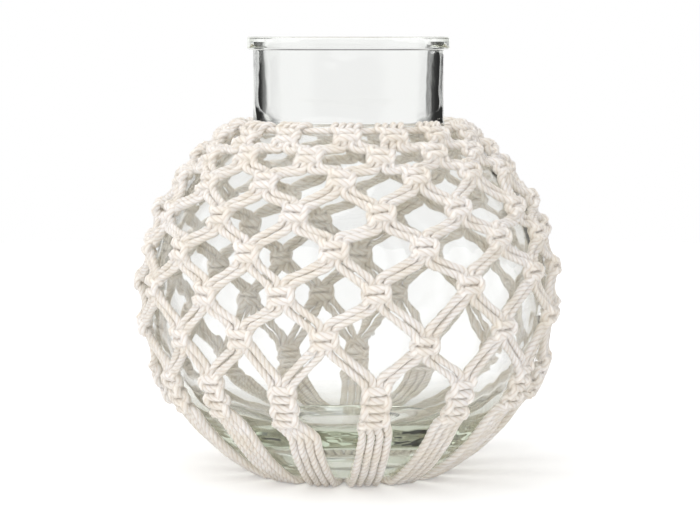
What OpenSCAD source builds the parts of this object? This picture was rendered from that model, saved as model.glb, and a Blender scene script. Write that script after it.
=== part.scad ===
/* [Glass body] */
// Height of the whole vase, from the table to the rim
vase_h = 216.5; // [205:0.5:235]
// Greatest radius of the glass body
body_r = 99; // [94:0.5:106]
// Height of the widest level of the body above the table
body_mid_z = 90; // [86:0.5:94]
// Rise of the body's curve above its widest level
body_rise = 96; // [92:0.5:100]
// Radius of the foot, where the body's curve ends on the cords under it
foot_r = 47.7; // [45:0.1:52]
// Thickness of the glass at the widest level
wall = 4.5; // [3:0.1:6]
// Thickness of the glass over the foot
floor_t = 12; // [9:0.5:16]
// Fullness of the hollow's lower corner, 2 for an ellipse and more for a squarer one
hollow_fullness = 2.6; // [2.2:0.1:3]
// Width of the flat rim of the foot, around the hollow pushed up under the base
foot_rim_w = 19.7; // [17:0.1:25]
// Height of the hollow pushed up under the base
punt_h = 4.5; // [2:0.1:6]

/* [Neck and lip] */
// Outer radius of the straight neck
neck_r = 47.2; // [44:0.1:49]
// Thickness of the glass in the neck
neck_wall = 4.5; // [3:0.1:6]
// Radius of the curve from the shoulder into the neck
shoulder_fillet = 4; // [2:0.1:6]
// Height of the rolled lip
lip_h = 6.2; // [5:0.1:9]
// How far the lip stands out from the neck
lip_out = 2.9; // [2:0.1:5]

/* [Net] */
// Diameter of the cotton cord
cord_d = 4; // [3.6:0.1:4.2]
// Longitude of the first knot of the top row, from the front towards +X
first_knot_angle = -3.1; // [-12:0.1:12]
// Width of a square knot
knot_w = 14; // [12:0.5:15]
// Thickness of a square knot, off the glass
knot_t = 7.6; // [6.5:0.1:8.5]
// Height of a square knot, along the glass
knot_h = 9.5; // [8:0.5:10]
// Length of the sennits in the lowest row, along the glass
sennit_l = 21; // [16:0.5:24]
// Thickness of the sennits, and of the row 2 knots that lie close under row 1
sennit_t = 6.6; // [6:0.1:7.5]
// Width over the two strands where they spread beside a knot
leg_w = 9.5; // [8:0.5:10]
// Distance from the middle of a knot to the strands that spread beside it
leg_aside = 2; // [1:0.5:3]
// How much higher the net lies at +X than at the front, in degrees around the body
net_lean = 2; // [0:0.1:2.5]
// Space between the cords and the glass
cord_gap = 0.6; // [0.55:0.05:0.8]
// Space where cords lie against each other, a ring or the foot
touch_gap = 0.1; // [0.05:0.05:0.2]
// Space between a ring and the cords that are hitched over it or end at it
hitch_gap = 0.6; // [0.6:0.05:0.9]

/* [Rows of knots, as distances down the curve of the glass] */
// From the corner of the neck down to the mounting ring
ring_drop = 10.4; // [9.6:0.1:11.4]
// From the mounting ring to row 1
row_1_drop = 7.9; // [7:0.1:8.5]
// From the mounting ring to row 2
row_2_drop = 18.6; // [17.6:0.1:19.4]
// From the mounting ring to row 3
row_3_drop = 32; // [31:0.1:33.5]
// From the mounting ring to row 4
row_4_drop = 49.7; // [48:0.1:52]
// From the mounting ring to row 5
row_5_drop = 66.2; // [64:0.1:68]
// From the mounting ring to row 6
row_6_drop = 84.6; // [82:0.1:87]
// From the mounting ring to row 7
row_7_drop = 104.8; // [102:0.1:108]
// From the mounting ring to the middle of row 8, the long sennits
row_8_drop = 134.4; // [131:0.1:138]

/* [Hidden] */
NODES = ["glass_vase", "mounting_ring_cord",
    "knotting_cord_01", "knotting_cord_02", "knotting_cord_03", "knotting_cord_04", "knotting_cord_05",
    "knotting_cord_06", "knotting_cord_07", "knotting_cord_08", "knotting_cord_09", "knotting_cord_10",
    "knotting_cord_11", "knotting_cord_12", "knotting_cord_13", "knotting_cord_14", "knotting_cord_15",
    "knotting_cord_16", "knotting_cord_17", "knotting_cord_18", "knotting_cord_19", "knotting_cord_20",
    "knotting_cord_21", "knotting_cord_22", "knotting_cord_23", "knotting_cord_24", "knotting_cord_25",
    "knotting_cord_26", "knotting_cord_27", "knotting_cord_28", "knotting_cord_29", "knotting_cord_30",
    "gathering_ring_cord"];
glass_colour = [0.86, 0.93, 0.89, 0.45];
cotton_colour = [0.93, 0.90, 0.85];

// The foot stands on the cords that pass under it
foot_z = cord_d + touch_gap;
foot_angle = -acos(foot_r / body_r);
body_depth = (foot_z - body_mid_z) / sin(foot_angle);
punt_r = foot_r - foot_rim_w;
neck_in_r = neck_r - neck_wall;
neck_angle = acos(neck_r / body_r);
neck_z = body_mid_z + body_rise * sin(neck_angle);
lip_r = neck_r + lip_out;
// The lip's outer edges are almost a full round, and the mouth's inner edge is eased
lip_round = lip_h * 0.42;
mouth_round = neck_wall * 0.4;
hollow_r = body_r - wall;
hollow_rise = body_rise - wall;
hollow_depth = body_mid_z - foot_z - floor_t;
hollow_neck_angle = acos(neck_in_r / hollow_r);
curve_steps = 28;
corner_steps = 6;
glass_sides = 180;
ring_sides = 120;
cord_sides = 32;

// Every node but the glass and the two rings is a knotting cord, and each lies in a sector of its own
rings_and_glass = 3;
first_cord = 2;
cords = len(NODES) - rings_and_glass;
sector = 360 / cords;
mm_per_degree = (body_r + body_rise) / 2 * PI / 180;
row_drops = [row_1_drop, row_2_drop, row_3_drop, row_4_drop, row_5_drop, row_6_drop, row_7_drop, row_8_drop];
// Angles up the curve of the glass, where 0 is its widest level
ring_angle = neck_angle - ring_drop / mm_per_degree;
row_angles = [for (drop = row_drops) ring_angle - drop / mm_per_degree];
// Span over which the lean fades out, at the ring and at the foot
lean_fade = 20;
// Span over which a cord goes over into the first knot, and into and out of a sennit
knot_start = 1;
// From the middle of a knot to the end of its full width
knot_flat = knot_h / 3 / mm_per_degree;
// From the middle of a knot to where its strands have spread
knot_reach = (knot_h + cord_d) / 2 / mm_per_degree;
sennit_half = sennit_l / 2 / mm_per_degree;
pair_w = cord_d * 2;
// Under the foot the pairs end where, side by side, they fill the whole circle
cord_end_r = cords * (pair_w + touch_gap) / (2 * PI);
// Turns around the mounting ring, from its inner side over the top to its outer side
hitch_turns = [150, 90, 15];
// A straight pair is divided into this many stretches between its sennit and the foot
straight_stretches = 3;
// The way a cord faces where it bends under the foot
corner_turn = -75.5;

// A point of the body's outer curve, at an angle up the curve, as [radius, height]
function on_body(t) = [body_r * cos(t), body_mid_z + (t > 0 ? body_rise : body_depth) * sin(t)];
// The direction that the glass faces there
function off_body(t) = let (
    b = t > 0 ? body_rise : body_depth,
    n = [b * cos(t), body_r * sin(t)]
) n / norm(n);
function bezier(a, b, c, s) = a * (1 - s) ^ 2 + b * 2 * s * (1 - s) + c * s ^ 2;
function arc(centre, r, from, to) = [for (i = [0:corner_steps]) let (
    a = from + (to - from) * i / corner_steps
) centre + r * [cos(a), sin(a)]];

function outer_outline() = let (
    fillet_angle = neck_angle - shoulder_fillet / mm_per_degree,
    corner = [neck_r, neck_z],
    lip_top = [lip_r - lip_round, vase_h - lip_round],
    lip_foot = [lip_r - lip_round, vase_h - lip_h + lip_round]
) concat(
    [for (i = [0:corner_steps]) let (a = 90 * i / corner_steps)
        [punt_r * sin(a), foot_z + punt_h * cos(a)]],
    [for (i = [0:curve_steps]) on_body(foot_angle + (fillet_angle - foot_angle) * i / curve_steps)],
    [for (i = [1:corner_steps])
        bezier(on_body(fillet_angle), corner, corner + [0, shoulder_fillet], i / corner_steps)],
    [[neck_r, vase_h - lip_h]],
    arc(lip_foot, lip_round, -90, 0),
    arc(lip_top, lip_round, 0, 90)
);

function hollow_outline() = concat(
    arc([neck_in_r + mouth_round, vase_h - mouth_round], mouth_round, 90, 180),
    [for (i = [0:curve_steps / 2]) let (t = hollow_neck_angle * (1 - 2 * i / curve_steps))
        [hollow_r * cos(t), body_mid_z + hollow_rise * sin(t)]],
    [for (i = [1:curve_steps]) let (
        down = sin(90 * i / curve_steps),
        across = max(0, 1 - down ^ hollow_fullness) ^ (1 / hollow_fullness)
    ) [hollow_r * across, body_mid_z - hollow_depth * down]]
);

module glass_vase() {
    color(glass_colour)
        rotate_extrude($fn = glass_sides)
            polygon(concat(outer_outline(), hollow_outline()));
}

// The mounting ring lies on the shoulder, just off the glass
ring_seat = on_body(ring_angle);
ring_centre = ring_seat + (cord_d / 2 + touch_gap) * off_body(ring_angle);

module cord_ring(centre) {
    color(cotton_colour)
        rotate_extrude($fn = ring_sides)
            translate(centre)
                circle(d = cord_d, $fn = cord_sides);
}

module mounting_ring_cord() {
    cord_ring(ring_centre);
}

module gathering_ring_cord() {
    cord_ring([cord_end_r - hitch_gap - cord_d / 2, cord_d / 2]);
}

// How far a row is pushed up the glass at a longitude, in degrees up the curve
function lean(t, lon) = let (
    at_ring = min(1, (ring_angle - t) / lean_fade),
    at_foot = min(1, (t - foot_angle) / lean_fade)
) net_lean * sin(lon) * max(0, at_ring) * max(0, at_foot);

// One ring of a cord's skin. The doubled cord lies between two columns of knots. Its near edge is beside the
// column, at longitude lon, and it reaches away from there to the side given by way. Knotted is 0 where the
// two strands lie flat side by side and 1 where they make half of a knot, with a full inner edge.
near_rounding = 0.25;
far_rounding = 0.3;
crown_of_pair = 0.5;
crown_of_knot = 0.6;
function skin(lon, way, seat, off, gap, w, t, knotted, aside = touch_gap / 2) = let (
    near_low = near_rounding * t * (1 - knotted),
    far_low = far_rounding * t,
    crown = w * (crown_of_pair + (crown_of_knot - crown_of_pair) * knotted),
    near_bottom_edge = [aside, gap + near_low],
    near_top_edge = [aside, gap + t - near_low],
    top = [aside + crown, gap + t],
    far_top_edge = [aside + w, gap + t - far_low],
    far_bottom_edge = [aside + w, gap + far_low],
    bottom = [aside + crown, gap],
    profile = way > 0 ? [near_bottom_edge, near_top_edge, top, far_top_edge, far_bottom_edge, bottom]
        : [far_bottom_edge, far_top_edge, top, near_top_edge, near_bottom_edge, bottom]
) [for (p = profile) let (
    r = seat[0] + p[1] * off[0],
    a = lon + way * p[0] / seat[0] * 180 / PI
) [r * sin(a), -r * cos(a), seat[1] + p[1] * off[1]]];

function skin_on_glass(t, lon, way, w, thick, knotted, aside = touch_gap / 2) = let (
    leaned = t + lean(t, lon)
) skin(lon, way, on_body(leaned), off_body(leaned), cord_gap, w, thick, knotted, aside);

function skin_round_ring(turn, lon, way, thick) = let (off = [cos(turn), sin(turn)])
    skin(lon, way, ring_centre + off * cord_d / 2, off, hitch_gap, knot_w / 2, thick, 0);

// The four rings of half a square knot and of the strands that spread above and below it
function knot_skins(t, lon, way) = [
    skin_on_glass(t + knot_reach, lon, way, leg_w, cord_d, 0, leg_aside),
    skin_on_glass(t + knot_flat, lon, way, knot_w / 2, knot_t, 1),
    skin_on_glass(t - knot_flat, lon, way, knot_w / 2, knot_t, 1),
    skin_on_glass(t - knot_reach, lon, way, leg_w, cord_d, 0, leg_aside)
];

// The cord number n lies in the sector n. Odd rows knot it to one neighbour and even rows to the other.
function cord_skins(n) = let (
    odd_lon = first_knot_angle + sector * (n % 2 == 0 ? n : n + 1),
    odd_way = n % 2 == 0 ? 1 : -1,
    even_lon = first_knot_angle + sector * (n % 2 == 0 ? n + 1 : n),
    even_way = -odd_way,
    sennit_top = row_angles[7] + sennit_half,
    sennit_end = row_angles[7] - sennit_half,
    corner_off = [cos(corner_turn), sin(corner_turn)],
    corner_t = -foot_z / sin(corner_turn) - cord_gap
) concat(
    [for (turn = hitch_turns) skin_round_ring(turn, odd_lon, odd_way, cord_d)],
    [skin_on_glass(row_angles[0] - knot_start, odd_lon, odd_way, knot_w / 2, knot_t, 1)],
    [for (side = [1, -1])
        skin_on_glass(row_angles[1] + side * knot_flat, even_lon, even_way, knot_w / 2, sennit_t, 1)],
    [for (i = [2:6]) let (odd_row = i % 2 == 0)
        each knot_skins(row_angles[i], odd_row ? odd_lon : even_lon, odd_row ? odd_way : even_way)],
    [
        skin_on_glass(sennit_top, even_lon, even_way, knot_w / 2, sennit_t, 1),
        skin_on_glass(sennit_end + knot_start, even_lon, even_way, knot_w / 2, sennit_t, 1),
        skin_on_glass(sennit_end - knot_start, even_lon, even_way, pair_w, cord_d, 0)
    ],
    [for (i = [1:straight_stretches - 1]) let (
        t = sennit_end + (foot_angle - sennit_end) * i / straight_stretches
    ) skin_on_glass(t, even_lon, even_way, pair_w, cord_d, 0)],
    [
        skin(even_lon, even_way, [foot_r, foot_z], corner_off, cord_gap, pair_w, corner_t, 1),
        skin(even_lon, even_way, [cord_end_r, foot_z], [0, -1], touch_gap, pair_w, cord_d, 1)
    ]
);

module knotting_cord(n) {
    skins = cord_skins(n);
    sides = len(skins[0]);
    last = len(skins) - 1;
    walls = [for (i = [0:last - 1], k = [0:sides - 1]) let (
        a = i * sides + k,
        b = i * sides + (k + 1) % sides
    ) each [[a, b, b + sides], [a, b + sides, a + sides]]];
    start = [for (k = [1:sides - 2]) [0, k + 1, k]];
    finish = [for (k = [1:sides - 2]) [last * sides, last * sides + k, last * sides + k + 1]];
    color(cotton_colour)
        polyhedron(points = [for (s = skins) each s], faces = concat(walls, start, finish));
}

glass_vase();
mounting_ring_cord();
gathering_ring_cord();
for (n = [0:cords - 1])
    knotting_cord(n);
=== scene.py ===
import math
import random

import bmesh
import bpy
import numpy as np
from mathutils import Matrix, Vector


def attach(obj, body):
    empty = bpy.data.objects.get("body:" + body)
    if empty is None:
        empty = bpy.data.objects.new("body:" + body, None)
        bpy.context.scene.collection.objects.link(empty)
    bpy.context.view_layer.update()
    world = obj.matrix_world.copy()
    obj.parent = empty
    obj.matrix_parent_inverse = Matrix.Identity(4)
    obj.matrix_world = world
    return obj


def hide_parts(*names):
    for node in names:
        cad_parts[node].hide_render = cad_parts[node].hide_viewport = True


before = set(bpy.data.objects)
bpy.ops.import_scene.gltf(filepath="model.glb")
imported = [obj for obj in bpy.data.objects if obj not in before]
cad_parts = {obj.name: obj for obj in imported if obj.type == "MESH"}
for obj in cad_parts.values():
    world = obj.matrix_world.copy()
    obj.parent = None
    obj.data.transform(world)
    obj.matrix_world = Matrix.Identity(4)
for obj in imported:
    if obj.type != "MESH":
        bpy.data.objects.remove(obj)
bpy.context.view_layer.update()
mm = 0.001


# Camera
# It stands 1.1 m in front of the vase, level with its rim, and looks slightly down.
body_mid_z = 90
camera_distance = 1125
camera_rise = math.radians(6.43)
camera_tilt = math.radians(5.7)
camera_aside = 0.85
camera_lens = 115.78

camera = bpy.data.objects.new("camera", bpy.data.cameras.new("camera"))
bpy.context.scene.collection.objects.link(camera)
bpy.context.scene.camera = camera
camera.data.lens = camera_lens
camera.location = Vector((
    camera_aside,
    -camera_distance * math.cos(camera_rise),
    body_mid_z + camera_distance * math.sin(camera_rise),
)) * mm
camera.rotation_euler = (math.pi / 2 - camera_tilt, 0, 0)


# Glass vase
# One piece of clear recycled glass with a faint green cast, blown into a ball with a straight neck. The rim
# is rolled over, the base is thick, and its underside is pushed up in the middle.
vase_h = 216.5
body_r = 99
body_rise = 96
wall = 4.5
floor_t = 12
foot_z = 4.1
foot_r = 47.7
foot_rim_w = 19.7
foot_round = 1.2
edge_support = 0.6
punt_h = 4.5
neck_r = 47.2
neck_wall = 4.5
neck_thickening = 1.5
shoulder_fillet = 2.2
lip_h = 6.2
lip_out = 2.9
lip_top_round = 0.9
lip_foot_round = 0.9
lip_seam_round = 0.5
inner_bend_h = 14
inner_bend_turn = 7
hollow_fullness = 2.6
ball_steps = 72
glass_turns = 256

foot_angle = -math.degrees(math.acos(foot_r / body_r))
body_depth = (body_mid_z - foot_z) / math.sin(math.radians(-foot_angle))
neck_angle = math.degrees(math.acos(neck_r / body_r))
mm_per_degree = (body_r + body_rise) / 2 * math.pi / 180


def ellipse_point(across, rise, degrees):
    angle = math.radians(degrees)
    return Vector((across * math.cos(angle), 0, body_mid_z + rise * math.sin(angle)))


def round_edge(x, z, r, start, end, steps=8):
    angles = [math.radians(start + (end - start) * i / steps) for i in range(steps + 1)]
    return [Vector((x + r * math.cos(a), 0, z + r * math.sin(a))) for a in angles]


def bend(start, corner, end, steps):
    shares = [i / steps for i in range(steps + 1)]
    return [start * (1 - s) ** 2 + corner * 2 * s * (1 - s) + end * s * s for s in shares]


def glass_outline():
    """From the middle of the underside, up the outside, over the lip and down to the middle of the hollow."""
    points = [Vector((0, 0, foot_z + punt_h))]
    punt_r = foot_r - foot_rim_w
    for i in range(1, 13):
        angle = math.pi / 2 * i / 12
        points.append(Vector((punt_r * math.sin(angle), 0, foot_z + punt_h * math.cos(angle))))
    for r in (punt_r + edge_support / 2, foot_r - foot_round - edge_support, foot_r - foot_round):
        points.append(Vector((r, 0, foot_z)))
    fillet_angle = neck_angle - shoulder_fillet / mm_per_degree
    for i in range(1, ball_steps + 1):
        degrees = foot_angle + (fillet_angle - foot_angle) * i / ball_steps
        points.append(ellipse_point(body_r, body_rise if degrees > 0 else body_depth, degrees))
    corner = ellipse_point(body_r, body_rise, neck_angle)
    neck_foot = corner + Vector((0, 0, shoulder_fillet))
    points += bend(points[-1], corner, neck_foot, 10)[1:]
    lip_r = neck_r + lip_out
    under_lip = vase_h - lip_h
    for share in (0.3, 0.6, 0.9, 0.97):
        points.append(Vector((neck_r, 0, neck_foot.z + (under_lip - neck_foot.z) * share)))
    points += round_edge(neck_r + lip_seam_round, under_lip - lip_seam_round, lip_seam_round, 180, 90)
    points += round_edge(lip_r - lip_foot_round, under_lip + lip_foot_round, lip_foot_round, -90, 0)
    points += round_edge(lip_r - lip_top_round, vase_h - lip_top_round, lip_top_round, 0, 90)
    mouth_round = neck_wall * 0.4
    neck_in_r = neck_r - neck_wall
    points += round_edge(neck_in_r + mouth_round, vase_h - mouth_round, mouth_round, 90, 180)
    hollow_r, hollow_rise = body_r - wall, body_rise - wall
    hollow_top = math.degrees(math.acos((neck_in_r - neck_thickening) / hollow_r))
    corner = ellipse_point(hollow_r, hollow_rise, hollow_top)
    bend_top = corner + Vector((0, 0, inner_bend_h))
    bend_angle = hollow_top - inner_bend_turn
    mouth_z = points[-1].z
    # The neck's wall gets thicker from the mouth down to a wide bend
    for share in (0.03, 0.1, 0.2, 0.35, 0.5, 0.65, 0.8, 0.93):
        r = neck_in_r - neck_thickening * share ** 0.5
        points.append(Vector((r, 0, mouth_z + (bend_top.z - mouth_z) * share)))
    points += bend(bend_top, corner, ellipse_point(hollow_r, hollow_rise, bend_angle), 16)
    for i in range(1, ball_steps // 2 + 1):
        points.append(ellipse_point(hollow_r, hollow_rise, bend_angle * (1 - 2 * i / ball_steps)))
    for i in range(1, ball_steps + 1):
        down = math.sin(math.pi / 2 * i / ball_steps)
        across = max(0, 1 - down ** hollow_fullness) ** (1 / hollow_fullness)
        points.append(Vector((hollow_r * across, 0, body_mid_z - (body_mid_z - foot_z - floor_t) * down)))
    return points


def make_object(name, mesh, material, slot, *nodes):
    mesh.materials.append(material)
    made = bpy.data.objects.new(name, mesh)
    bpy.context.scene.collection.objects.link(made)
    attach(made, "root")
    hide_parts(*nodes)
    return made


# Both add to the material, or the world, whose nodes and links were named last
def node(kind, **settings):
    made = nodes.new(kind)
    for key, value in settings.items():
        setattr(made, key, value)
    return made


def math_node(operation, a, b=None):
    made = node("ShaderNodeMath", operation=operation)
    for socket, value in zip(made.inputs, (a, b)):
        if value is None:
            continue
        if isinstance(value, (int, float)):
            socket.default_value = value
        else:
            links.new(value, socket)
    return made.outputs[0]


glass_tint = (0.54, 0.65, 0.46, 1)
glass_density = 7.5
clear_tint = (1, 0.995, 0.985, 1)
inner_bounces = 2.5

glass = bpy.data.materials.new("clear_recycled_glass")
glass.use_nodes = True
nodes, links = glass.node_tree.nodes, glass.node_tree.links
shader = nodes["Principled BSDF"]
shader.inputs["Base Color"].default_value = (1, 1, 1, 1)
shader.inputs["Roughness"].default_value = 0
shader.inputs["IOR"].default_value = 1.5
shader.inputs["Transmission Weight"].default_value = 1
tint = node("ShaderNodeVolumeAbsorption")
tint.inputs["Color"].default_value = glass_tint
tint.inputs["Density"].default_value = glass_density
# The faint waves of blown glass
object_place = node("ShaderNodeTexCoord")
waves = node("ShaderNodeTexNoise")
waves.inputs["Scale"].default_value = 70
waves.inputs["Detail"].default_value = 1
links.new(object_place.outputs["Object"], waves.inputs["Vector"])
wavy = node("ShaderNodeBump")
wavy.inputs["Strength"].default_value = 0.35
wavy.inputs["Distance"].default_value = 0.0006
links.new(waves.outputs[0], wavy.inputs["Height"])
links.new(wavy.outputs[0], shader.inputs["Normal"])
# Light from the lamps and from the cords goes straight through, so that what is behind the glass is lit, and
# a ray that has been thrown back inside the thick base more often than inner_bounces is let out
light_path = node("ShaderNodeLightPath")
lets_light = math_node("MAXIMUM", light_path.outputs["Is Shadow Ray"], light_path.outputs["Is Diffuse Ray"])
long_way = math_node("GREATER_THAN", light_path.outputs["Glossy Depth"], inner_bounces)
lets_through = math_node("MAXIMUM", lets_light, long_way)
clear = node("ShaderNodeBsdfTransparent")
clear.inputs["Color"].default_value = clear_tint
either = node("ShaderNodeMixShader")
links.new(lets_through, either.inputs[0])
links.new(shader.outputs[0], either.inputs[1])
links.new(clear.outputs[0], either.inputs[2])
links.new(either.outputs[0], nodes["Material Output"].inputs["Surface"])
links.new(tint.outputs[0], nodes["Material Output"].inputs["Volume"])

lathe = bmesh.new()
outline = [lathe.verts.new(p * mm) for p in glass_outline()]
edges = [lathe.edges.new(pair) for pair in zip(outline, outline[1:])]
bmesh.ops.spin(lathe, geom=outline + edges, cent=(0, 0, 0), axis=(0, 0, 1), angle=math.tau,
    steps=glass_turns, use_merge=True)
bmesh.ops.remove_doubles(lathe, verts=lathe.verts, dist=0.00001)
bmesh.ops.recalc_face_normals(lathe, faces=lathe.faces)
for face in lathe.faces:
    face.smooth = True
vase_mesh = bpy.data.meshes.new("blown_glass_vase")
lathe.to_mesh(vase_mesh)
lathe.free()
make_object("blown_glass_vase", vase_mesh, glass, "clear_glass", "glass_vase")


# Knotting cords
# Thirty lengths of four-ply twisted cotton, each folded in half over the mounting ring. Their sixty strands
# are tied four at a time into alternating square knots, and end in long sennits and straight strands.
cords = 30
sector = 360 / cords
cord_r = 2.15
plies = 4
ply_lay = 14
ply_groove = 0.14
points_around = 16
ring_spacing = 1.2
first_knot_angle = -3.1
ring_angle = 56.5
ring_off = 2.4
row_angles = (52.2, 45.2, 37.3, 26.8, 17, 5.7, -6.6, -24.4)
net_lean = 2
lean_fade = 20


def on_glass(points):
    """Rows of (degrees up the curve, degrees round, mm off the glass) as points in mm."""
    up, turn, off = points[:, 0], np.radians(points[:, 1]), points[:, 2]
    # The net hangs a little lower on one side, but not at its ring and its foot
    fade = np.clip((ring_angle - up) / lean_fade, 0, 1) * np.clip((up - foot_angle) / lean_fade, 0, 1)
    leaned = up + net_lean * np.sin(turn) * fade
    # Past the foot a cord runs on inwards, flat under it
    past_foot = np.maximum(0, foot_angle - leaned) * mm_per_degree
    t = np.radians(np.maximum(leaned, foot_angle))
    rise = np.where(t > 0, body_rise, body_depth)
    facing = np.arctan2(body_r * np.sin(t), rise * np.cos(t))
    under = np.clip(((foot_angle - leaned) * mm_per_degree + 1) / 2, 0, 1)
    facing += (-math.pi / 2 - facing) * under
    r = body_r * np.cos(t) - past_foot + off * np.cos(facing)
    z = body_mid_z + rise * np.sin(t) + off * np.sin(facing)
    return np.stack([r * np.sin(turn), -r * np.cos(turn), z], 1)


def smooth_route(points, step):
    """A curve through the points, at equal steps, as (places in mm, thickness shares)."""
    points = np.array(points, float)
    first_turn = points[0, 1]
    places = on_glass(points)
    reach = np.sqrt(np.linalg.norm(np.diff(places, axis=0), axis=1)) + 1e-6
    points = np.vstack([2 * points[0] - points[1], points, 2 * points[-1] - points[-2]])
    knots = np.concatenate([[0], np.cumsum(np.concatenate([reach[:1], reach, reach[-1:]]))])
    dense = []
    for i in range(1, len(points) - 2):
        t0, t1, t2, t3 = knots[i - 1:i + 3]
        p0, p1, p2, p3 = points[i - 1:i + 3]
        t = np.linspace(t1, t2, 12, endpoint=False)[:, None]
        a1 = (t1 - t) / (t1 - t0) * p0 + (t - t0) / (t1 - t0) * p1
        a2 = (t2 - t) / (t2 - t1) * p1 + (t - t1) / (t2 - t1) * p2
        a3 = (t3 - t) / (t3 - t2) * p2 + (t - t2) / (t3 - t2) * p3
        b1 = (t2 - t) / (t2 - t0) * a1 + (t - t0) / (t2 - t0) * a2
        b2 = (t3 - t) / (t3 - t1) * a2 + (t - t1) / (t3 - t1) * a3
        dense.append((t2 - t) / (t2 - t1) * b1 + (t - t1) / (t2 - t1) * b2)
    dense = np.vstack(dense + [points[-2][None]])
    places = on_glass(dense)
    along = np.concatenate([[0], np.cumsum(np.linalg.norm(np.diff(places, axis=0), axis=1))])
    at = np.linspace(0, along[-1], max(4, round(along[-1] / step)) + 1)
    even = np.stack([np.interp(at, along, places[:, k]) for k in range(3)], 1)
    # Spun cotton is a little thicker in some places than in others
    uneven = 1 + 0.05 * np.sin(at / 2.9 + first_turn) + 0.03 * np.sin(at / 7.7 + 2 * first_turn)
    return even, np.interp(at, along, dense[:, 3]) * uneven


class Rope:
    """Collects twisted cords swept along their routes, and makes them one mesh."""

    def __init__(self):
        self.points, self.faces, self.uvs = [], [], []
        self.count = 0

    def sweep(self, places, shares, closed=False, twist_start=0.0):
        n = len(places)
        if closed:
            ahead = np.roll(places, -1, 0) - np.roll(places, 1, 0)
        else:
            ahead = np.gradient(places, axis=0)
        ahead /= np.linalg.norm(ahead, axis=1)[:, None]
        side = np.empty_like(places)
        side[0] = np.cross(ahead[0], (0.3, 0.2, 0.93))
        side[0] /= np.linalg.norm(side[0])
        for i in range(1, n):
            s = side[i - 1] - ahead[i] * (side[i - 1] @ ahead[i])
            side[i] = s / np.linalg.norm(s)
        other = np.cross(ahead, side)
        along = np.concatenate([[0], np.cumsum(np.linalg.norm(np.diff(places, axis=0), axis=1))])
        around = np.arange(points_around) / points_around
        lobe = 1 - ply_groove * (1 - np.abs(np.cos(math.pi * plies * around))) ** 1.2
        twist = twist_start + along / ply_lay
        shift = 0
        if closed:
            # The plies have to meet again where the ring closes
            length = along[-1] + np.linalg.norm(places[0] - places[-1])
            back = np.cross(ahead[0], side[0])
            last = side[-1] - ahead[0] * (side[-1] @ ahead[0])
            drift = math.atan2(last @ back, last @ side[0]) / math.tau
            turns = round(length / ply_lay * plies) / plies
            twist = twist_start + along / length * (turns - drift)
            shift = round(turns * points_around)
        angle = (around[None] + twist[:, None]) * math.tau
        r = cord_r * shares[:, None] * lobe[None]
        ring = places[:, None] + (r * np.cos(angle))[..., None] * side[:, None] \
            + (r * np.sin(angle))[..., None] * other[:, None]
        i = np.arange(n if closed else n - 1)[:, None]
        k = np.arange(points_around)[None]
        last_ring = (i == n - 1)
        next_k = (k + 1) % points_around
        up = (i + 1) % n
        up_k = np.where(last_ring, (k + shift) % points_around, k)
        up_next_k = np.where(last_ring, (next_k + shift) % points_around, next_k)
        quads = np.stack([i * points_around + k, i * points_around + next_k,
            up * points_around + up_next_k, up * points_around + up_k], -1).reshape(-1, 4)
        near = along[i] * np.ones_like(k, float)
        far = np.where(last_ring, along[-1] + ring_spacing, along[up]) * np.ones_like(k, float)
        left = k / points_around * np.ones_like(i)
        right = (k + 1) / points_around * np.ones_like(i)
        corners = [np.stack(pair, -1) for pair in ((near, left), (near, right), (far, right), (far, left))]
        self.points.append(ring.reshape(-1, 3))
        self.faces += (quads + self.count).tolist()
        self.uvs.append(np.stack(corners, 2).reshape(-1, 2))
        if not closed:
            start = [self.count + k for k in reversed(range(points_around))]
            end = [self.count + (n - 1) * points_around + k for k in range(points_around)]
            self.faces += [start, end]
            self.uvs.append(np.tile([[0.0, 0.0]], (points_around, 1)))
            self.uvs.append(np.tile([[along[-1], 0.0]], (points_around, 1)))
        self.count += n * points_around

    def mesh(self, name):
        made = bpy.data.meshes.new(name)
        made.from_pydata((np.vstack(self.points) * mm).tolist(), [], self.faces)
        layer = made.uv_layers.new(name="along_and_round")
        layer.data.foreach_set("uv", (np.vstack(self.uvs) * (mm, 1)).astype(np.float32).ravel())
        made.polygons.foreach_set("use_smooth", [True] * len(made.polygons))
        made.update()
        return made


# A square knot: two fillers run straight down its middle, and two workers cross over and under them in turn.
# Its routes are (mm across, mm up, mm off the glass) from its middle.
filler_u = 1.75
filler_off = 3.7
worker_u = 5.1
bar_off = 5.8
bar_spacing = 4.4
knot_bars = 2
sennit_bars = 5


def filler_route(side, bars):
    top = (bars - 1) / 2 * bar_spacing
    ends = top + 4.1
    middle = [(side * filler_u, v, filler_off) for v in np.linspace(top, -top, bars)]
    return [(side * 1.95, ends, 2.7)] + middle + [(side * 1.95, -ends, 2.7)]


def front_route(start_side, bars):
    top = (bars - 1) / 2 * bar_spacing
    route = [(start_side * 5.8, top + 2.5, 2.9)]
    side = start_side
    for i in range(bars):
        v = top - i * bar_spacing
        route += [(side * 4.6, v + 0.2, 4.0), (side * 3.0, v, 5.5), (0, v, bar_off), (-side * 3.0, v, 5.5),
            (-side * 4.6, v - 0.2, 4.0)]
        if i < bars - 1:
            route.append((-side * worker_u, v - bar_spacing / 2, 3.3))
        side = -side
    return route + [(side * 5.8, -top - 2.5, 2.9)]


def back_route(start_side, bars):
    top = (bars - 1) / 2 * bar_spacing
    route = [(start_side * 5.8, top + 2.5, 3.6)]
    side = start_side
    for i in range(bars):
        v = top - i * bar_spacing
        route += [(side * 4.9, v + 0.6, 5.8), (side * 3.7, v - 0.5, 3.1), (0, v - 0.4, 1.9),
            (-side * 3.7, v - 0.3, 3.1), (-side * 4.9, v - 0.3, 5.7)]
        if i < bars - 1:
            route.append((-side * (worker_u + 0.1), v - bar_spacing / 2, 6.0))
        side = -side
    return route + [(side * 5.8, -top - 2.5, 2.9)]


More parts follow.
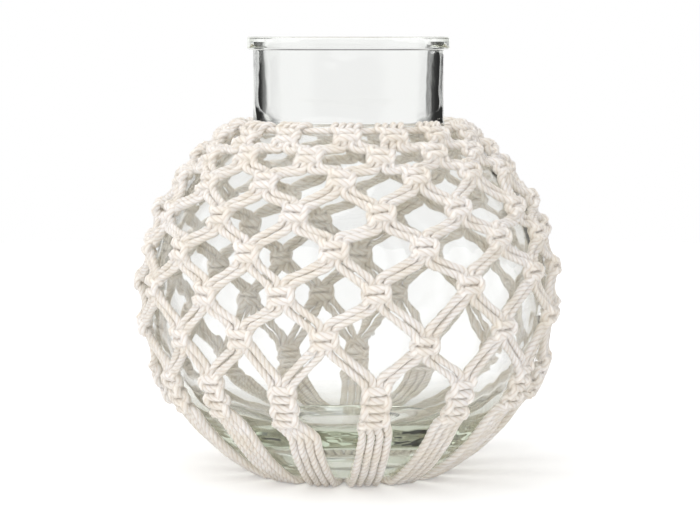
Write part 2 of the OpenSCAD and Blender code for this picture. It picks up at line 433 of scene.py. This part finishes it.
def over_ring(n, side, way):
    """A strand of cord n from the fold behind the mounting ring, over it and down, as (u, v, off, share)."""
    chance = random.Random(n * 7 + 3)
    fold_u = way * (4.0 + chance.uniform(-0.3, 0.5))
    half = 1.9 + chance.uniform(-0.1, 0.2)
    centre_off = ring_off + chance.uniform(-0.1, 0.1)
    over = 2.7 + chance.uniform(-0.2, 0.3)
    lean = -1.8 + chance.uniform(-0.7, 0.9)
    u = fold_u + way * side * half
    route = [(fold_u + way * side * 0.2 - lean * 0.6, 2.9, 2.0, 0.75),
        (fold_u + way * side * 1.4 - lean * 0.6, 3.0, 2.2, 0.75)]
    for turn in (25, 60, 95, 130):
        angle = math.radians(turn)
        aside = lean * (turn - 60) / 70
        route.append((u + aside, over * math.cos(angle), centre_off + over * math.sin(angle), 0.76))
    return route


# How far single knots sit from the even net, in degrees round and mm up. Another program worked these out from
# places read off the photo, and nine of them were then changed by hand.
tied_off = {
    (1, 26): (2.5, -0.9), (1, 28): (0.1, 0.5), (1, 0): (2.9, 1.2), (1, 2): (-0.7, 0.5), (1, 4): (-1.4, 1.3),
    (2, 27): (-1.7, 1.2), (2, 29): (0.7, 0), (2, 1): (3.3, -0.9), (2, 3): (1.9, 0.8),
    (3, 26): (-0.6, -1.1), (3, 28): (-0.7, -0.1), (3, 0): (1.0, 0.3), (3, 2): (2.2, 0.2),
    (3, 4): (1.2, 1.0),
    (4, 25): (-3.5, -0.3), (4, 27): (-0.7, 0), (4, 29): (-0.4, 1.2), (4, 1): (0.6, -0.1),
    (4, 3): (1.2, 0.2), (4, 5): (3.4, -2.0),
    (5, 26): (-1.2, -0.6), (5, 28): (-0.8, -0.6), (5, 0): (-0.7, 0.5), (5, 2): (-0.1, -0.2),
    (5, 4): (1.4, 1.0),
    (6, 25): (-1.6, 0), (6, 27): (-0.9, -0.7), (6, 29): (-2.3, -0.1), (6, 1): (-1.8, -0.3),
    (6, 3): (0.4, 0.5), (6, 5): (2.9, 2.2),
    (7, 24): (-3.0, 0.5), (7, 26): (0.7, -0.2), (7, 28): (-1.9, 1.6), (7, 0): (-3.1, 1.0),
    (7, 2): (-0.9, -3.5), (7, 4): (0.2, -0.2), (7, 6): (2.6, 0.5),
    (8, 25): (1.4, 1.3), (8, 27): (-2.2, 3.2), (8, 29): (-3.6, -0.5), (8, 1): (-1.2, -1.6),
    (8, 3): (0.3, -2.2), (8, 5): (1.7, -0.7),
}


knot_tilt = 6
sennit_tilt = 2


def knot_shift(row, column):
    """The differences between one hand-tied knot and the next: mm across, mm up, and a tilt."""
    chance = random.Random(row * 100 + column)
    across, up, tilt = [chance.uniform(-1, 1) for _ in range(3)]
    if (row, column) in tied_off:
        degrees, up = tied_off[row, column]
        across = math.radians(degrees) * body_r * math.cos(math.radians(row_angles[row - 1]))
    return across, up, math.radians((knot_tilt if row < len(row_angles) else sennit_tilt) * tilt)


# The legs between the knots, and the four straight strands side by side below each sennit
leg_off = 2.25
leg_share = 0.82
leg_half = 1.95
leg_spread = 1.8
shortest_leg = 4
sennit_half = 11.5
strand_u = 2.05
strand_off = 2.1
foot_off = 2.05
foot_share = 0.88
# The knots of the first three rows are pulled tighter, so that they stand out less
tight_rows = 3
tight_off = 0.8


def leg_middle(before, row, lon, u, v, n, east):
    """Half way along the leg down to a knot, where its two strands lie side by side: one point or none."""
    r = body_r * math.cos(math.radians(row_angles[row - 1])) + leg_off
    up = row_angles[row - 1] + v / mm_per_degree
    turn = lon + math.degrees(u / r)
    across = math.radians(turn - before[1]) * r
    rise = (up - before[0]) * mm_per_degree
    length = math.hypot(across, rise)
    if length <= shortest_leg:
        return []
    apart = leg_spread + random.Random(n * 20 + row).uniform(0, 0.5) - leg_half
    if not east:
        apart = -apart
    middle_up = (before[0] + up) / 2 + apart * across / length / mm_per_degree
    middle_turn = (before[1] + turn) / 2 - math.degrees(apart * rise / length / r)
    return [(middle_up, middle_turn, leg_off, leg_share)]


def strand_route(n, east):
    """The whole run of one strand of cord n, as (degrees up, degrees round, mm off, thickness share)."""
    even = n % 2 == 0
    columns = [n, n + 1] if even else [n + 1, n]
    lons = [first_knot_angle + sector * column for column in columns]
    ways = [1, -1] if even else [-1, 1]
    route = []

    def add(up, lon, u, v, off, share=1.0):
        there = up + v / mm_per_degree
        r = body_r * math.cos(math.radians(max(there, foot_angle))) + off
        route.append((there, lon + math.degrees(u / r), off, share))

    side_at_ring = 1 if (east == (ways[0] > 0)) else -1
    first_shift = knot_shift(1, round((lons[0] - first_knot_angle) / sector) % cords)[0]
    for u, v, off, share in over_ring(n, side_at_ring, ways[0]):
        add(ring_angle, lons[0], u + first_shift * 0.8, v, off, share)
    for row, row_angle in enumerate(row_angles, 1):
        lon, way = lons[(row - 1) % 2], ways[(row - 1) % 2]
        across, up, tilt = knot_shift(row, round((lon - first_knot_angle) / sector) % cords)
        sennit = row == len(row_angles)
        bars = sennit_bars if sennit else knot_bars
        front_side = -1 if sennit else 1
        works = east == (way > 0)
        if not works:
            local = filler_route(way, bars)
        elif way == front_side:
            local = front_route(way, bars)
        else:
            local = back_route(way, bars)
        if row == 1:
            local = local[1:]
        flat = tight_off if row <= tight_rows else 1
        for i, (u, v, off) in enumerate(local):
            turned_u = u * math.cos(tilt) - v * math.sin(tilt) + across
            turned_v = u * math.sin(tilt) + v * math.cos(tilt) + up
            if i == 0 and row > 1:
                route += leg_middle(route[-1], row, lon, turned_u, turned_v, n, east)
            add(row_angle, lon, turned_u, turned_v, strand_off + (off - strand_off) * flat)
    # Below its sennit the strand runs straight down and in under the foot
    ends_at = -way * 3 * strand_u if works else way * strand_u
    below = row_angles[-1] - sennit_half / mm_per_degree
    for i in range(1, 7):
        thinner = 1 - (1 - foot_share) * i / 6
        add(below + (foot_angle - below) * i / 6, lon, ends_at, 0, strand_off, thinner)
    for inward in (2.5, 5, 7.5, 9.2):
        turn = lon + math.degrees(ends_at / (foot_r - inward))
        route.append((foot_angle - inward / mm_per_degree, turn, foot_off, foot_share))
    return route


cream = (0.91, 0.85, 0.765, 1)
pale_cream = (0.97, 0.935, 0.905, 1)
# Painted shade: the brown, and how strongly it is mixed in, for the shade painted into the grooves between the
# plies
groove_shade_brown = (0.55, 0.43, 0.31, 1)
groove_shade_strength = 0.5
yarns_a_ply = 3
yarn_turns_a_metre = 240

cotton = bpy.data.materials.new("twisted_cotton")
cotton.use_nodes = True
nodes, links = cotton.node_tree.nodes, cotton.node_tree.links
cloth = nodes["Principled BSDF"]
cloth.inputs["Roughness"].default_value = 0.92
cloth.inputs["Specular IOR Level"].default_value = 0.25
cloth.inputs["Sheen Weight"].default_value = 0.15
cloth.inputs["Sheen Roughness"].default_value = 0.6
uv = node("ShaderNodeUVMap", uv_map="along_and_round")
split = node("ShaderNodeSeparateXYZ")
links.new(uv.outputs[0], split.inputs[0])
along, around = split.outputs[0], split.outputs[1]
across_ply = math_node("MULTIPLY", math_node("FRACT", math_node("MULTIPLY", around, plies)), 2)
# Across one ply this runs from 0 at its crown to 1 in the grooves at its sides
from_crown = math_node("SUBTRACT", 1, math_node("ABSOLUTE", math_node("SUBTRACT", across_ply, 1)))
# Painted shade: this mask darkens the grooves between the plies, where shade falls
groove_shade_mask = math_node("POWER", from_crown, 3)
yarns_round = math_node("MULTIPLY", around, plies * yarns_a_ply)
yarn_turns = math_node("ADD", yarns_round, math_node("MULTIPLY", along, -yarn_turns_a_metre))
yarn = math_node("SINE", math_node("MULTIPLY", yarn_turns, math.tau))
place = node("ShaderNodeTexCoord")
clouds = node("ShaderNodeTexNoise")
clouds.inputs["Scale"].default_value = 90
clouds.inputs["Detail"].default_value = 4
links.new(place.outputs["Object"], clouds.inputs["Vector"])
fuzz = node("ShaderNodeTexNoise")
fuzz.inputs["Scale"].default_value = 1300
fuzz.inputs["Detail"].default_value = 3
links.new(place.outputs["Object"], fuzz.inputs["Vector"])

undyed = node("ShaderNodeMix", data_type="RGBA")
undyed.inputs[6].default_value = cream
undyed.inputs[7].default_value = pale_cream
patches = node("ShaderNodeMapRange")
patches.inputs["From Min"].default_value = 0.36
patches.inputs["From Max"].default_value = 0.64
links.new(clouds.outputs[0], patches.inputs["Value"])
links.new(patches.outputs[0], undyed.inputs[0])
# Painted shade: brown is mixed into the cream in the grooves between the plies, where shade falls
shaded = node("ShaderNodeMix", data_type="RGBA")
shaded.inputs[7].default_value = groove_shade_brown
links.new(math_node("MULTIPLY", groove_shade_mask, groove_shade_strength), shaded.inputs[0])
links.new(undyed.outputs[2], shaded.inputs[6])
links.new(shaded.outputs[2], cloth.inputs["Base Color"])
height = math_node("ADD", math_node("MULTIPLY", yarn, 0.5), math_node("MULTIPLY", fuzz.outputs[0], 0.8))
bump = node("ShaderNodeBump")
bump.inputs["Strength"].default_value = 0.7
bump.inputs["Distance"].default_value = 0.0003
links.new(height, bump.inputs["Height"])
links.new(bump.outputs[0], cloth.inputs["Normal"])

for n in range(cords):
    rope = Rope()
    for east in (False, True):
        places, shares = smooth_route(strand_route(n, east), ring_spacing)
        rope.sweep(places, shares, twist_start=n * 0.37 + east * 0.21)
    name = f"folded_cord_{n + 1:02d}"
    make_object(name, rope.mesh(name), cotton, "cotton_cord", f"knotting_cord_{n + 1:02d}")


# Mounting ring and gathering ring
# Two more lengths of the same cord, each tied into a ring. One lies on the shoulder, under the folds of the
# knotting cords. The other holds their ends together under the foot.
ring_share = 0.8
gathering_r = 36.07
gathering_z = 2.05
gathering_share = 0.94


def cord_ring(name, r, z, share, cad_node):
    count = round(math.tau * r / ring_spacing)
    angles = np.arange(count) / count * math.tau
    places = np.stack([r * np.cos(angles), r * np.sin(angles), np.full(count, z)], 1)
    rope = Rope()
    rope.sweep(places, np.full(count, share), closed=True)
    return make_object(name, rope.mesh(name), cotton, "cotton_cord", cad_node)


ring_place = on_glass(np.array([[ring_angle, 0, ring_off]]))[0]
cord_ring("mounting_ring", -ring_place[1], ring_place[2], ring_share, "mounting_ring_cord")
cord_ring("gathering_ring", gathering_r, gathering_z, gathering_share, "gathering_ring_cord")


# Studio
# A plain white floor and soft light from all round. A large lamp hangs above, a little to the left and in
# front, and a smaller one stands low in front. Dark parts of the room at the sides give the glass its edges.
floor_r = 1.3
floor_white = (0.92, 0.92, 0.92, 1)

floor_mesh = bpy.data.meshes.new("floor")
floor_bm = bmesh.new()
bmesh.ops.create_circle(floor_bm, cap_ends=True, segments=96, radius=floor_r)
floor_bm.to_mesh(floor_mesh)
floor_bm.free()
floor = bpy.data.objects.new("floor", floor_mesh)
bpy.context.scene.collection.objects.link(floor)

white_floor = bpy.data.materials.new("white_floor")
white_floor.use_nodes = True
floor_mesh.materials.append(white_floor)
nodes, links = white_floor.node_tree.nodes, white_floor.node_tree.links
nodes.remove(nodes["Principled BSDF"])
seen = node("ShaderNodeLightPath")
plain = node("ShaderNodeBsdfDiffuse")
plain.inputs["Color"].default_value = floor_white
lift = node("ShaderNodeEmission")
through = math_node("MAXIMUM", seen.outputs["Is Glossy Ray"], seen.outputs["Is Transmission Ray"])
# The floor is a little brighter than the light alone makes it, most of all straight to the camera
not_straight = math_node("MAXIMUM", through, seen.outputs["Is Diffuse Ray"])
straight_lift = math_node("MULTIPLY", seen.outputs["Is Camera Ray"], 0.2)
links.new(math_node("ADD", straight_lift, math_node("MULTIPLY", not_straight, 0.12)), lift.inputs["Strength"])
both = node("ShaderNodeAddShader")
links.new(plain.outputs[0], both.inputs[0])
links.new(lift.outputs[0], both.inputs[1])
links.new(both.outputs[0], nodes["Material Output"].inputs["Surface"])

world = bpy.data.worlds.new("studio")
bpy.context.scene.world = world
world.use_nodes = True
nodes, links = world.node_tree.nodes, world.node_tree.links
background = nodes["Background"]
background.inputs["Color"].default_value = (1, 1, 1, 1)
seen = node("ShaderNodeLightPath")
direction = node("ShaderNodeTexCoord")
split = node("ShaderNodeSeparateXYZ")
links.new(direction.outputs["Generated"], split.inputs[0])
through = math_node("MAXIMUM", seen.outputs["Is Glossy Ray"], seen.outputs["Is Transmission Ray"])
# The angle to the right of straight behind the vase
azimuth = math_node("ARCTAN2", split.outputs[0], split.outputs[1])


def ramp(value, start, end, low, high):
    made = node("ShaderNodeMapRange", interpolation_type="SMOOTHSTEP")
    links.new(value, made.inputs["Value"])
    for name, number in (("From Min", start), ("From Max", end), ("To Min", low), ("To Max", high)):
        made.inputs[name].default_value = number
    return made.outputs[0]


# What the glass shows: a white sheet behind, dark room on both sides of it and above, softboxes at the sides,
# and the dim room on the camera's side
degree = math.radians(1)
right_dark = math_node("MULTIPLY", ramp(azimuth, 18 * degree, 21 * degree, 0, 0.97),
    ramp(azimuth, 50 * degree, 58 * degree, 1, 0.8))
left_dark = math_node("MULTIPLY", ramp(azimuth, -31 * degree, -28 * degree, 0.97, 0),
    ramp(azimuth, -60 * degree, -50 * degree, 0, 1))
above_dark = math_node("MULTIPLY", ramp(split.outputs[2], 0.2, 0.28, 0, 0.8),
    math_node("MULTIPLY", ramp(split.outputs[2], 0.6, 0.7, 1, 0),
    ramp(math_node("ABSOLUTE", azimuth), 20 * degree, 30 * degree, 1, 0)))
front_dark = ramp(math_node("ABSOLUTE", azimuth), 125 * degree, 140 * degree, 0, 0.35)
beyond = ramp(azimuth, 58 * degree, 66 * degree, 1, 0)
beside = math_node("MULTIPLY", math_node("MAXIMUM", right_dark, left_dark), beyond)
all_dark = math_node("MAXIMUM", beside, math_node("MAXIMUM", above_dark, front_dark))
dark = math_node("MULTIPLY", all_dark, through)
# The light that falls on the vase is a little stronger from the left
from_right = math_node("MULTIPLY", split.outputs[0], 0.23)
from_behind = math_node("MULTIPLY", split.outputs[1], 0.06)
soft_light = math_node("SUBTRACT", math_node("SUBTRACT", 0.94, from_right), from_behind)
seen_white = math_node("MAXIMUM", seen.outputs["Is Camera Ray"], through)
whiter = math_node("MULTIPLY", seen_white, math_node("SUBTRACT", 1, soft_light))
dimmer = math_node("MULTIPLY", seen.outputs["Is Transmission Ray"], 0.05)
level = math_node("SUBTRACT", math_node("ADD", whiter, soft_light), dimmer)
links.new(math_node("MULTIPLY", level, math_node("SUBTRACT", 1, dark)), background.inputs["Strength"])


def disk_lamp(name, size, watts, location, aim):
    lamp = bpy.data.objects.new(name, bpy.data.lights.new(name, "AREA"))
    bpy.context.scene.collection.objects.link(lamp)
    lamp.data.shape = "DISK"
    lamp.data.size = size
    lamp.data.energy = watts
    lamp.location = location
    lamp.rotation_euler = (Vector(aim) - lamp.location).to_track_quat("-Z", "Y").to_euler()
    return lamp


disk_lamp("key_lamp", 1.3, 4.6, (-0.3, -0.35, 1.4), (0, 0, 0.1))
low_lamp = disk_lamp("low_front_lamp", 0.8, 3.2, (-0.12, -1.3, 0.13), (0, 0, 0.05))
low_lamp.visible_glossy = False
low_lamp.visible_transmission = False

bpy.context.scene.view_settings.view_transform = "Standard"
